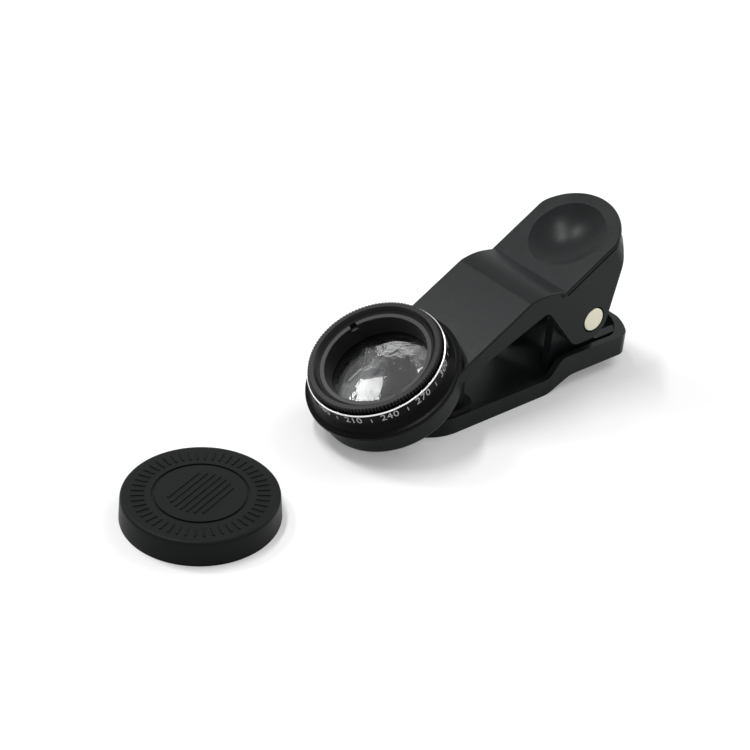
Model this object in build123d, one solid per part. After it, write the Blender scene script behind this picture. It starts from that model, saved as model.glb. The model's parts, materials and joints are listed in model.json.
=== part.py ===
"""Clip-on polarizing lens: a sprung two-arm clip, the lens in its ring, and the lens cap beside it.

Millimetres, +Z up. The origin lies on the flat bottom of the lower arm, on the clip's mid-plane.
+X runs from the lens towards the thumb tabs, and the hinge pin lies along Y.
"""
from build123d import *
import math
import os

# The clip as a whole
CLIP_WIDTH = 20.0
PIN_X = 24.0

# The lower arm from the side: lengths from the pin, heights above the floor
LOWER_WALL = 1.3
LOWER_FLOOR = 1.6
FRONT_WALL_HEIGHT = 1.9
REAR_WALL_HEIGHT = 4.6
REAR_WALL_DROP = 0.3
LOWER_REAR = 14.3
HEEL_START = 10.0
HEEL_RUN = 5.6
HEEL_RISE = 2.5
HEEL_ROUND = 6.0
RIM_BEND = 9.9
RIM_RUN = 2.9
RIM_ROUND = 2.4
END_ROUND = 0.8
REAR_END_EXTRA = 4.2
REAR_CORNER_ROUND = 3.0
TROUGH_END_EXTRA = 0.9
TROUGH_CORNER_ROUND = 4.0

# The lower arm's two inner ears, which the hinge pin passes through
EAR_SIDE_GAP = 0.5
EAR_THICKNESS = 1.9
EAR_FRONT = 7.9
EAR_BACK = 3.4
EAR_SHOULDER = 1.3
EAR_TOP = 4.7
EAR_TOP_FRONT = 3.8
EAR_STRIP_HEIGHT = 2.3
EAR_ROOT = 0.3
EAR_STRIP_ROUND = 1.5
EAR_BACK_ROUND = 3.2
EAR_TOP_ROUND = 3.0
EAR_SHOULDER_ROUND = 2.0

# The upper arm from the side, measured from the pin
SIDE_WALL = 2.2
TOP_WALL = 1.8
TAB_ROOT_X = 8.8
TAB_ROOT_RISE = 8.8
CROWN_RUN = 4.9
CROWN_LIFT = 0.8
CROWN_ROUND = 12.0
HUMP_RUN = 3.5
HUMP_DIP = 0.65
HUMP_ROUND = 3.0
APEX_X = 12.5
APEX_RISE = 5.6
APEX_ROUND = 1.6
FOOT_DROP = 4.3
FOOT_GAP = 2.1
FOOT_FRONT = 4.6
FOOT_FRONT_ROUND = 3.0
FOOT_BACK = 2.95
FOOT_BACK_ROUND = 4.5
CHEEK_TOP_X = 7.25
CHEEK_TOP_ROUND = 1.5
ARM_EDGE_ROUND = 0.4

# The thumb tab at the rear of the upper arm
TAB_SLOPE = 30.25
TAB_LENGTH = 20.4
TAB_END_EXTRA = 1.0
TAB_THICKNESS = 2.0
TAB_LIP = 0.6
TAB_LIP_INSET = 1.0
TAB_OVERHANG = 0.35
TAB_CORNER_ROUND = 3.5
TAB_EDGE_ROUND = 0.4
TAB_GROOVE_HEIGHT = 0.8
TAB_GROOVE_DEPTH = 0.6
BOWL_FRONT_MARGIN = 2.7
BOWL_END_MARGIN = 2.5
BOWL_DEPTH = 2.0
BOWL_WALL = 1.3
BOWL_RIM_ROUND = 0.3

# The hinge pin, a rivet with a low head at each end
PIN_RADIUS = 2.0
PIN_HEAD_OVERHANG = 0.39
PIN_HEAD_HEIGHT = 0.75
PIN_HEAD_ROUND = 0.3
PIN_STANDOUT = 0.15
PIN_PRESS_GAP = 0.02
PIN_RUN_GAP = 0.06
PIN_HEAD_GAP = 0.28

# The torsion spring round the pin
WIRE = 1.1
COIL_GAP = 0.4
COIL_SPACING = 0.1
COIL_SIDE_GAP = 1.7
LOWER_LEG_REACH = 7.5
UPPER_LEG_PAST_BOWL = 5.9
LEG_GAP = 0.15
BEND_SWELL = 0.03

# Where the lens sits: its tilt, its reach ahead of the pin and how far its ring clears the lower rim
LENS_TILT = 26.2
LENS_REACH = 45.69
RING_LIFT = 2.24
JAW_SETBACK = 2.69

# The upper arm's lens ring, with depths down the lens axis
ARM_DROP = 2.3
ARM_END_THICKNESS = 1.25
RING_WALL = 1.35
RING_TOP_ROUND = 0.2
RING_EDGE_ROUND = 0.8
SHELF_THICKNESS = 1.05
WINDOW_MARGIN = 0.6

# The lens barrel, screwed into the arm's ring
BARREL_WALL = 0.75
BAND_WALL = 1.65
BAND_HEIGHT = 2.2
BAND_CHAMFER = 0.16
FLARE_HEIGHT = 2.0
FLARE_ROUND = 2.2
FLANGE_REACH = 1.75
FLANGE_SHOULDER = 0.9
FLANGE_THICKNESS = 0.9
FLANGE_EDGE = 0.2
THREAD_GAP = 0.05
NOSE_END_GAP = 0.15
LIP_MARGIN = 0.9
LIP_HEIGHT = 2.1
LIP_STRAIGHT = 0.8
LIP_FLARE = 0.7

# The turning filter ring
HEAD_SETBACK = 0.5
HEAD_HEIGHT = 1.0
HEAD_CHAMFER = 0.14
HEAD_LIFT = 0.1
KNURL_COUNT = 120
KNURL_DEPTH = 0.28
MOUTH_MARGIN = 0.88
STEP_MARGIN = 0.45
STEP_DEPTH = 0.6
SLEEVE_WALL = 0.8
SLEEVE_GAP = 0.05
SHOULDER_WIDTH = 1.1
SHOULDER_HEIGHT = 0.8
SLEEVE_END_LIFT = 0.15

# The snap wire that keeps the filter ring in the barrel
SNAP_DEPTH = 4.3
SNAP_WIRE_RADIUS = 0.3
SNAP_GAP = 0.06
SNAP_ARC = 322.0

# The glass and films, and the retaining ring above them
GLASS_DEPTH = 4.8
GLASS_THICKNESS = 0.7
POLARIZER_THICKNESS = 0.2
RETARDER_THICKNESS = 0.1
GLASS_RADIUS = 10.4
GLASS_EDGE_GAP = 0.1
RETAINER_DEPTH = 1.05
RETAINER_EDGE_GAP = 0.05
RETAINER_LEDGE = 0.8
RETAINER_FLARE = 0.25
RETAINER_EDGE_ROUND = 0.15
SLOT_WIDTH = 1.3
SLOT_DEPTH = 0.9
SLOT_ANGLE = 75.0

# The soft pads that hold the phone
PAD_GAP = 0.3
RING_PAD_WIDTH = 2.2
RING_PAD_THICKNESS = 1.0
RING_PAD_STANDOUT = 0.3
JAW_PAD_TAIL = 4.8
JAW_PAD_INSET = 0.3
JAW_PAD_FLANGE = 1.2
JAW_PAD_STEP = 1.1
JAW_PAD_CORNER = 2.5
SEAT_GAP = 0.05

# The lens cap, lying face up beside the clip
CAP_X = -60.96
CAP_Y = -4.3
CAP_HEIGHT = 4.53
CAP_WALL = 1.09
CAP_DRAFT = 0.3
CAP_EDGE_ROUND = 0.6
CAP_BORE_GAP = 0.15
CAP_FACE_WALL = 1.2
CAP_GROOVE_INSET = 5.74
CAP_GROOVE_WIDTH = 0.5
CAP_GROOVE_DEPTH = 0.3

# Heights and widths that follow from those above
HALF_WIDTH = CLIP_WIDTH / 2
RIM_FRONT = LOWER_FLOOR + FRONT_WALL_HEIGHT
RIM_REAR = HEEL_RISE + REAR_WALL_HEIGHT
PIN_Z = RIM_REAR + FOOT_GAP + FOOT_DROP
EAR_OUTER = HALF_WIDTH - SIDE_WALL - EAR_SIDE_GAP
EAR_STRIP = HEEL_RISE + LOWER_FLOOR + EAR_STRIP_HEIGHT
CROWN_X = TAB_ROOT_X + CROWN_RUN
CROWN_RISE = TAB_ROOT_RISE + CROWN_LIFT
HUMP_X = CROWN_X + HUMP_RUN
HUMP_RISE = CROWN_RISE - HUMP_DIP
BOWL_RADIUS = (TAB_LENGTH - BOWL_FRONT_MARGIN - BOWL_END_MARGIN) / 2
BOWL_PLACE = BOWL_FRONT_MARGIN + BOWL_RADIUS
PIN_HEAD_RADIUS = PIN_RADIUS + PIN_HEAD_OVERHANG
COIL_RADIUS = PIN_RADIUS + COIL_GAP + WIRE / 2
COIL_PITCH = WIRE + COIL_SPACING
COIL_TURNS = int((2 * (EAR_OUTER - EAR_THICKNESS - COIL_SIDE_GAP) - WIRE) / COIL_PITCH)
LOWER_FRONT = LENS_REACH - JAW_SETBACK
JAW_PAD_LENGTH = HALF_WIDTH + JAW_PAD_TAIL

# Radii of the lens, from the glass outwards
SEAT_RADIUS = GLASS_RADIUS + GLASS_EDGE_GAP
RETAINER_RADIUS = SEAT_RADIUS - RETAINER_EDGE_GAP
RETAINER_BORE = GLASS_RADIUS - RETAINER_LEDGE
SHOULDER_RADIUS = GLASS_RADIUS - SHOULDER_WIDTH
STEP_RADIUS = SEAT_RADIUS + STEP_MARGIN
MOUTH_RADIUS = SEAT_RADIUS + MOUTH_MARGIN
SLEEVE_RADIUS = SEAT_RADIUS + SLEEVE_WALL
POCKET_RADIUS = SLEEVE_RADIUS + SLEEVE_GAP
SNAP_RING_RADIUS = POCKET_RADIUS + SNAP_GAP
LIP_RADIUS = GLASS_RADIUS - LIP_MARGIN
NOSE_RADIUS = POCKET_RADIUS + BARREL_WALL
BAND_RADIUS = POCKET_RADIUS + BAND_WALL
HEAD_RADIUS = BAND_RADIUS - HEAD_SETBACK
FLANGE_RADIUS = BAND_RADIUS + FLANGE_REACH
THREAD_RADIUS = NOSE_RADIUS + THREAD_GAP
RING_RADIUS = THREAD_RADIUS + RING_WALL
WINDOW_RADIUS = GLASS_RADIUS - WINDOW_MARGIN
RING_PAD_RADIUS = WINDOW_RADIUS + RING_PAD_WIDTH
CAP_RADIUS = HEAD_RADIUS + CAP_BORE_GAP + CAP_WALL
CAP_GROOVE_RADIUS = CAP_RADIUS - CAP_GROOVE_INSET

# Depths of the lens, from its front face down
BARREL_TOP_DEPTH = HEAD_HEIGHT + HEAD_LIFT
BAND_END_DEPTH = BARREL_TOP_DEPTH + BAND_HEIGHT
FLANGE_DEPTH = BAND_END_DEPTH + FLARE_HEIGHT
RING_TOP_DEPTH = FLANGE_DEPTH + FLANGE_THICKNESS
ARM_TOP_DEPTH = RING_TOP_DEPTH + ARM_DROP
ARM_UNDER_DEPTH = ARM_TOP_DEPTH + ARM_END_THICKNESS
FILM_DEPTH = GLASS_DEPTH + GLASS_THICKNESS
RETARDER_DEPTH = FILM_DEPTH + POLARIZER_THICKNESS
REAR_GLASS_DEPTH = RETARDER_DEPTH + RETARDER_THICKNESS
STACK_END_DEPTH = REAR_GLASS_DEPTH + GLASS_THICKNESS
SLEEVE_END_DEPTH = STACK_END_DEPTH + SHOULDER_HEIGHT
POCKET_DEPTH = SLEEVE_END_DEPTH + SLEEVE_END_LIFT
NOSE_END_DEPTH = POCKET_DEPTH + LIP_HEIGHT
SHELF_DEPTH = NOSE_END_DEPTH + NOSE_END_GAP
RING_PAD_TOP = SHELF_DEPTH + SHELF_THICKNESS
RING_PAD_BOTTOM = RING_PAD_TOP + RING_PAD_THICKNESS
RING_BOTTOM_DEPTH = RING_PAD_BOTTOM - RING_PAD_STANDOUT

# The frames of the lens and of the thumb tab
LENS_SIN = math.sin(math.radians(LENS_TILT))
LENS_COS = math.cos(math.radians(LENS_TILT))
LENS_FRAME = Plane(
    origin=(PIN_X - LENS_REACH, 0, RIM_FRONT + RING_LIFT + RING_BOTTOM_DEPTH * LENS_COS),
    x_dir=(LENS_COS, 0, LENS_SIN),
    z_dir=(-LENS_SIN, 0, LENS_COS),
)
TAB_SIN = math.sin(math.radians(TAB_SLOPE))
TAB_COS = math.cos(math.radians(TAB_SLOPE))
TAB_FRAME = Plane(
    origin=(PIN_X - TAB_ROOT_X, 0, PIN_Z + TAB_ROOT_RISE),
    x_dir=(TAB_COS, 0, TAB_SIN),
    z_dir=(-TAB_SIN, 0, TAB_COS),
)

# A length beyond every piece, and a distance at which two places count as one
FAR = 100.0
NEARNESS = 0.02


def side_slab(corners, rounds, half_thickness):
    """Returns a side outline of (x, z) corners, each with its round, as a slab centred on y = 0."""
    outline = FilletPolyline(*corners, radius=rounds, close=True)
    return extrude(Plane.XZ * make_face(outline), amount=half_thickness, both=True)


def turned(corners, rounds):
    """Returns the ring that a closed outline of (radius, height) corners makes about Z."""
    outline = FilletPolyline(*corners, radius=rounds, close=True)
    return revolve(Plane.XZ * make_face(outline), axis=Axis.Z)


def sharp(corners):
    """Returns a zero round for each corner."""
    return [0] * len(corners)


def on_lens(solid):
    """Moves a solid from the lens's own frame, front face at zero, to its place on the arm."""
    return LENS_FRAME.location * solid


def lens_point(depth):
    """Returns the (x, z) place on the lens axis that lies so deep under the front face."""
    place = LENS_FRAME.from_local_coords((0, 0, -depth))
    return (place.X, place.Z)


def tab_point(along, below):
    """Returns the (x, z) place so far along the thumb tab and so far below its top."""
    place = TAB_FRAME.from_local_coords((along, 0, -below))
    return (place.X, place.Z)


def lowered(start, end, distance):
    """Returns a line of two (x, z) points moved square to itself, to the side that faces down."""
    length = math.hypot(end[0] - start[0], end[1] - start[1])
    across = ((end[1] - start[1]) / length * distance, -(end[0] - start[0]) / length * distance)
    return [(point[0] + across[0], point[1] + across[1]) for point in (start, end)]


def crossing(first, second):
    """Returns the (x, z) point where two lines, each of two points, cross."""
    (x1, z1), (x2, z2) = first
    (x3, z3), (x4, z4) = second
    spread = (x1 - x2) * (z3 - z4) - (z1 - z2) * (x3 - x4)
    one = x1 * z2 - z1 * x2
    two = x3 * z4 - z3 * x4
    return ((one * (x3 - x4) - (x1 - x2) * two) / spread, (one * (z3 - z4) - (z1 - z2) * two) / spread)


def round_end_reach(half, end, extra, across):
    """Returns how far a plan with a round end of radius half + extra reaches, off its middle line."""
    radius = half + extra
    return end - radius + math.sqrt(radius**2 - across**2)


def round_end_plan(half, start, end, extra, corner_round):
    """Returns a flat plan with straight sides and a round end, whose radius is half + extra."""
    radius = half + extra
    corner = round_end_reach(half, end, extra, half)
    strip = Pos((start + corner) / 2, 0) * Rectangle(corner - start, 2 * half)
    beyond = Pos(corner + half, 0) * Rectangle(2 * half, 2 * half)
    plan = strip + (Pos(end - radius, 0) * Circle(radius) & beyond)
    corners = plan.vertices().filter_by_position(Axis.X, corner - NEARNESS, corner + NEARNESS)
    return fillet(corners, corner_round)


def nose_plan(half, front):
    """Returns the flat half disc at the front of a jaw's plan."""
    ahead = Pos(front + half / 2, 0) * Rectangle(half, 2 * half)
    return Pos(front + half, 0) * Circle(half) & ahead


def lower_plan(inset, extra, corner_round):
    """Returns the lower arm's plan drawn in by an inset: a round front and a round rear."""
    half = HALF_WIDTH - inset
    front = PIN_X - LOWER_FRONT + inset
    end = PIN_X + LOWER_REAR - inset
    return round_end_plan(half, front + half, end, extra, corner_round) + nose_plan(half, front)


def prism(plan, low, high):
    """Returns a flat plan as a solid between two heights."""
    return Pos(0, 0, low) * extrude(plan, amount=high - low)


def lower_ear_outline():
    """Returns the side outline of an inner ear, from inside the floor up and over the pin."""
    heel = PIN_X - HEEL_START
    front = PIN_X - EAR_FRONT
    half = HALF_WIDTH - LOWER_WALL
    end = PIN_X + LOWER_REAR - LOWER_WALL
    rear = round_end_reach(half, end, TROUGH_END_EXTRA, EAR_OUTER - EAR_THICKNESS) + EAR_ROOT
    floor = HEEL_RISE + LOWER_FLOOR / 2
    corners = [
        (front, LOWER_FLOOR / 2 + HEEL_RISE * (front - heel) / HEEL_RUN),
        (heel + HEEL_RUN, floor),
        (rear, floor),
        (rear, EAR_STRIP),
        (PIN_X + EAR_BACK, EAR_STRIP),
        (PIN_X + EAR_BACK, PIN_Z + EAR_TOP),
        (PIN_X - EAR_TOP_FRONT, PIN_Z + EAR_TOP),
        (front, PIN_Z + EAR_SHOULDER),
    ]
    rounds = [0, 0, 0, 0, EAR_STRIP_ROUND, EAR_BACK_ROUND, EAR_TOP_ROUND, EAR_SHOULDER_ROUND]
    return corners, rounds


def lower_arm():
    """The lower jaw: a shallow channel, round in front and behind, with two ears for the pin."""
    front = PIN_X - LOWER_FRONT
    rear = PIN_X + LOWER_REAR
    heel = PIN_X - HEEL_START
    bend = PIN_X - RIM_BEND
    corners = [
        (front, 0),
        (heel, 0),
        (heel + HEEL_RUN, HEEL_RISE),
        (rear, HEEL_RISE),
        (rear, RIM_REAR - REAR_WALL_DROP),
        (bend + RIM_RUN, RIM_REAR),
        (bend, RIM_FRONT),
        (front, RIM_FRONT),
    ]
    rounds = [END_ROUND, HEEL_ROUND, HEEL_ROUND, END_ROUND, END_ROUND, RIM_ROUND, RIM_ROUND, END_ROUND]
    body = side_slab(corners, rounds, HALF_WIDTH)
    body = body & prism(lower_plan(0, REAR_END_EXTRA, REAR_CORNER_ROUND), 0, RIM_REAR)
    trough = [
        (front, LOWER_FLOOR),
        (heel, LOWER_FLOOR),
        (heel + HEEL_RUN, HEEL_RISE + LOWER_FLOOR),
        (rear, HEEL_RISE + LOWER_FLOOR),
        (rear, FAR),
        (front, FAR),
    ]
    hollow = side_slab(trough, [0, HEEL_ROUND, HEEL_ROUND, 0, 0, 0], HALF_WIDTH)
    inside = prism(lower_plan(LOWER_WALL, TROUGH_END_EXTRA, TROUGH_CORNER_ROUND), 0, FAR)
    body = body - (hollow & inside)
    ear = side_slab(*lower_ear_outline(), EAR_THICKNESS / 2)
    for side in (-1, 1):
        body = body + Pos(0, side * (EAR_OUTER - EAR_THICKNESS / 2), 0) * ear
    bore = Pos(PIN_X, 0, PIN_Z) * Rot(90, 0, 0) * Cylinder(PIN_RADIUS + PIN_RUN_GAP, CLIP_WIDTH)
    return body - bore


def top_corners():
    """Returns the corners of the upper arm's top line, from the lens axis to the root of the tab."""
    return [
        lens_point(ARM_TOP_DEPTH),
        (PIN_X - HUMP_X, PIN_Z + HUMP_RISE),
        (PIN_X - CROWN_X, PIN_Z + CROWN_RISE),
        (PIN_X - TAB_ROOT_X, PIN_Z + TAB_ROOT_RISE),
    ]


def arm_block():
    """Returns the upper arm's solid side form, with its long top edges rounded."""
    cheek_along = (TAB_ROOT_X + CHEEK_TOP_X) / TAB_COS
    corners = top_corners() + [
        tab_point(0, TAB_LIP),
        tab_point(cheek_along, TAB_LIP),
        (PIN_X + FOOT_BACK, PIN_Z - FOOT_DROP),
        (PIN_X - FOOT_FRONT, PIN_Z - FOOT_DROP),
        (PIN_X - APEX_X, PIN_Z + APEX_RISE),
        lens_point(ARM_UNDER_DEPTH),
    ]
    rounds = sharp(corners)
    rounds[1] = HUMP_ROUND
    rounds[2] = CROWN_ROUND
    rounds[-5:-1] = [CHEEK_TOP_ROUND, FOOT_BACK_ROUND, FOOT_FRONT_ROUND, APEX_ROUND]
    block = side_slab(corners, rounds, HALF_WIDTH)
    probe = ARM_EDGE_ROUND / 2
    edges = []
    for edge in block.edges():
        middle = edge @ 0.5
        on_side = abs(abs(middle.Y) - HALF_WIDTH) < NEARNESS
        above = Vector(middle.X, middle.Y * (1 - probe / HALF_WIDTH), middle.Z + probe)
        if on_side and middle.X < PIN_X - TAB_ROOT_X and not block.is_inside(above):
            edges.append(edge)
    return fillet(edges, ARM_EDGE_ROUND)


def arm_hollow():
    """Returns the space between the upper arm's two side walls, under its top."""
    root = top_corners()
    lines = [lowered(root[i], root[i + 1], TOP_WALL) for i in range(3)]
    under_tab = [tab_point(0, TAB_THICKNESS), tab_point(2 * TAB_LENGTH, TAB_THICKNESS)]
    corners = [
        lines[0][0],
        crossing(lines[0], lines[1]),
        crossing(lines[1], lines[2]),
        crossing(lines[2], under_tab),
        under_tab[1],
        (under_tab[1][0], -FAR),
        (lines[0][0][0], -FAR),
    ]
    return side_slab(corners, sharp(corners), HALF_WIDTH - SIDE_WALL)


def tab_plan(start, inset):
    """Returns the thumb tab's plan in its own frame, from a start on, drawn in by an inset."""
    half = HALF_WIDTH + TAB_OVERHANG - inset
    return round_end_plan(half, start, TAB_LENGTH - inset, TAB_END_EXTRA, TAB_CORNER_ROUND)


def thumb_tab():
    """Returns the thumb tab in its own frame: a plate on a narrower plate, bulging under the bowl."""
    tuck = TAB_THICKNESS / 2
    lip = extrude(tab_plan(-tuck, 0), amount=-TAB_LIP)
    top_edges = [e for e in lip.faces().sort_by(Axis.Z)[-1].edges() if (e @ 0.5).X > 0]
    lip = fillet(top_edges, TAB_EDGE_ROUND)
    plate = lip + extrude(tab_plan(-tuck, TAB_LIP_INSET), amount=-TAB_THICKNESS)
    under = Pos(0, 0, -TAB_LIP - FAR / 2) * Box(FAR, FAR, FAR)
    return plate + (thumb_bowl(BOWL_WALL) & under)


def thumb_bowl(wall):
    """Returns the ball that makes the thumb bowl, in the tab's frame, grown by a wall."""
    radius = (BOWL_RADIUS**2 + BOWL_DEPTH**2) / (2 * BOWL_DEPTH)
    return Pos(BOWL_PLACE, 0, radius - BOWL_DEPTH) * Sphere(radius + wall)


def lens_ring():
    """Returns the upper arm's ring in the lens's frame, not yet bored."""
    corners = [
        (0, -RING_TOP_DEPTH),
        (RING_RADIUS, -RING_TOP_DEPTH),
        (RING_RADIUS, -RING_BOTTOM_DEPTH),
        (0, -RING_BOTTOM_DEPTH),
    ]
    return turned(corners, [0, RING_TOP_ROUND, RING_EDGE_ROUND, 0])


def lens_bore():
    """Returns what is bored out of the ring: the thread's space, the window and the pad's recess."""
    pad_radius = RING_PAD_RADIUS + SEAT_GAP
    corners = [
        (0, -BAND_END_DEPTH),
        (THREAD_RADIUS, -BAND_END_DEPTH),
        (THREAD_RADIUS, -SHELF_DEPTH),
        (WINDOW_RADIUS, -SHELF_DEPTH),
        (WINDOW_RADIUS, -RING_PAD_TOP),
        (pad_radius, -RING_PAD_TOP),
        (pad_radius, -RING_PAD_BOTTOM),
        (0, -RING_PAD_BOTTOM),
    ]
    return turned(corners, sharp(corners))


def upper_arm():
    """The upper jaw: the lens ring, the hollow sloping arm, the cheeks about the pin and the tab."""
    tab = TAB_FRAME.location
    body = arm_block() - arm_hollow()
    body = body & tab * extrude(tab_plan(-FAR, TAB_OVERHANG), amount=FAR, both=True)
    body = body + on_lens(lens_ring()) + tab * thumb_tab()
    body = body - on_lens(lens_bore()) - tab * thumb_bowl(0)
    rim = [e for e in body.edges().filter_by(GeomType.CIRCLE) if abs(e.radius - BOWL_RADIUS) < NEARNESS]
    body = fillet(rim, BOWL_RIM_ROUND)
    groove_length = 2 * TAB_LENGTH
    groove = Box(groove_length, 2 * TAB_GROOVE_DEPTH, TAB_GROOVE_HEIGHT)
    for side in (-1, 1):
        place = Pos(groove_length / 2, side * HALF_WIDTH, -TAB_LIP - TAB_GROOVE_HEIGHT / 2)
        body = body - tab * place * groove
    hinge = Pos(PIN_X, 0, PIN_Z) * Rot(90, 0, 0)
    body = body - hinge * Cylinder(PIN_RADIUS + PIN_PRESS_GAP, 2 * CLIP_WIDTH)
    seat_depth = PIN_HEAD_HEIGHT - PIN_STANDOUT
    for side in (-1, 1):
        seat = Cylinder(PIN_HEAD_RADIUS + PIN_HEAD_GAP, 2 * seat_depth)
        body = body - hinge * Pos(0, 0, side * HALF_WIDTH) * seat
    return body


def hinge_pin():
    """The hinge pin: a plain shaft with a low head at each end, both a little proud of the cheeks."""
    head_out = HALF_WIDTH + PIN_STANDOUT
    head_in = head_out - PIN_HEAD_HEIGHT
    corners = [
        (0, -head_out),
        (PIN_HEAD_RADIUS, -head_out),
        (PIN_HEAD_RADIUS, -head_in),
        (PIN_RADIUS, -head_in),
        (PIN_RADIUS, head_in),
        (PIN_HEAD_RADIUS, head_in),
        (PIN_HEAD_RADIUS, head_out),
        (0, head_out),
    ]
    rounds = [0, PIN_HEAD_ROUND, 0, 0, 0, 0, PIN_HEAD_ROUND, 0]
    return Pos(PIN_X, 0, PIN_Z) * Rot(90, 0, 0) * turned(corners, rounds)


def rod(start, end, radius):
    """Returns a round bar between two points, with a ball at its start."""
    axis = Vector(*end) - Vector(*start)
    bar = Plane(origin=start, z_dir=axis) * extrude(Circle(radius), amount=axis.length)
    return bar + Pos(*start) * Sphere(radius + BEND_SWELL)


def torsion_spring():
    """The spring: a close coil round the pin, one leg down to the lower arm and one up to the tab."""
    floor = HEEL_RISE + LOWER_FLOOR + WIRE / 2 + LEG_GAP
    low_end = (PIN_X + LOWER_LEG_REACH, floor)
    high_end = tab_point(BOWL_PLACE + UPPER_LEG_PAST_BOWL, TAB_THICKNESS + WIRE / 2 + LEG_GAP)
    angles = []
    for end, turn in ((high_end, 1), (low_end, -1)):
        run, rise = end[0] - PIN_X, end[1] - PIN_Z
        opening = math.acos(COIL_RADIUS / math.hypot(run, rise))
        angles.append(math.degrees(math.atan2(rise, run) + turn * opening))
    start, stop = angles
    turns = COIL_TURNS + ((stop - start) % 360) / 360
    length = turns * COIL_PITCH
    frame = Plane(
        origin=(PIN_X, length / 2, PIN_Z),
        x_dir=(math.cos(math.radians(start)), 0, math.sin(math.radians(start))),
        z_dir=(0, -1, 0),
    )
    path = Helix(pitch=COIL_PITCH, height=length, radius=COIL_RADIUS)
    coil = sweep(Plane(origin=path @ 0, z_dir=path % 0) * Circle(WIRE / 2), path=path, is_frenet=True)
    first = frame.from_local_coords(path @ 0)
    last = frame.from_local_coords(path @ 1)
    spring = frame.location * coil
    spring = spring + rod(tuple(first), (high_end[0], first.Y, high_end[1]), WIRE / 2)
    return spring + rod(tuple(last), (low_end[0], last.Y, low_end[1]), WIRE / 2)


def jaw_pad():
    """The lower jaw's soft pad: a plug in the trough, a flange on the rim and a wedge up to the ring."""
    front = PIN_X - LOWER_FRONT
    rear = front + JAW_PAD_LENGTH
    flange_top = RIM_FRONT + SEAT_GAP + JAW_PAD_FLANGE
    plug_inset = LOWER_WALL + SEAT_GAP
    flange_inset = JAW_PAD_INSET
    layers = [
        (plug_inset, rear - flange_inset, LOWER_FLOOR + SEAT_GAP, RIM_FRONT + SEAT_GAP),
        (flange_inset, rear, RIM_FRONT + SEAT_GAP, flange_top),
        (flange_inset + JAW_PAD_STEP, rear - JAW_PAD_STEP, flange_top, PIN_Z),
    ]
    body = Part()
    for inset, end, low, high in layers:
        half = HALF_WIDTH - inset
        nose = front + inset + half
        square = [(nose, half), (end, half), (end, -half), (nose, -half)]
        outline = FilletPolyline(*square, radius=[0, JAW_PAD_CORNER, JAW_PAD_CORNER, 0], close=True)
        body = body + prism(make_face(outline) + nose_plan(half, front + inset), low, high)
    top_depth = RING_PAD_BOTTOM + PAD_GAP
    above = on_lens(Pos(0, 0, FAR / 2 - top_depth) * Box(FAR, FAR, FAR))
    return body - above


def ring_pad():
    """The soft ring under the lens, round the window that the phone's camera looks through."""
    corners = [
        (WINDOW_RADIUS, -RING_PAD_TOP),
        (RING_PAD_RADIUS, -RING_PAD_TOP),
        (RING_PAD_RADIUS, -RING_PAD_BOTTOM),
        (WINDOW_RADIUS, -RING_PAD_BOTTOM),
    ]
    return on_lens(turned(corners, [0, 0, SEAT_GAP, SEAT_GAP]))


def lens_barrel():
    """The fixed lens body: bright top edge, plain band, flared flange and the threaded nose."""
    snap_half = SNAP_WIRE_RADIUS + SNAP_GAP
    snap_outer = SNAP_RING_RADIUS + snap_half
    flare = FLANGE_RADIUS - FLANGE_SHOULDER
    corners = [
        (POCKET_RADIUS, -BARREL_TOP_DEPTH),
        (BAND_RADIUS - BAND_CHAMFER, -BARREL_TOP_DEPTH),
        (BAND_RADIUS, -BARREL_TOP_DEPTH - BAND_CHAMFER),
        (BAND_RADIUS, -BAND_END_DEPTH),
        (flare, -FLANGE_DEPTH + FLANGE_EDGE),
        (FLANGE_RADIUS, -FLANGE_DEPTH),
        (FLANGE_RADIUS, -RING_TOP_DEPTH),
        (NOSE_RADIUS, -RING_TOP_DEPTH),
        (NOSE_RADIUS, -NOSE_END_DEPTH),
        (LIP_RADIUS + LIP_FLARE, -NOSE_END_DEPTH),
        (LIP_RADIUS, -POCKET_DEPTH - LIP_STRAIGHT),
        (LIP_RADIUS, -POCKET_DEPTH),
        (POCKET_RADIUS, -POCKET_DEPTH),
        (POCKET_RADIUS, -SNAP_DEPTH - snap_half),
        (snap_outer, -SNAP_DEPTH - snap_half),
        (snap_outer, -SNAP_DEPTH + snap_half),
        (POCKET_RADIUS, -SNAP_DEPTH + snap_half),
    ]
    rounds = sharp(corners)
    rounds[3] = FLARE_ROUND
    rounds[4] = FLARE_ROUND / 4
    rounds[5] = FLANGE_EDGE
    rounds[6] = FLANGE_EDGE
    return on_lens(turned(corners, rounds))


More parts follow.
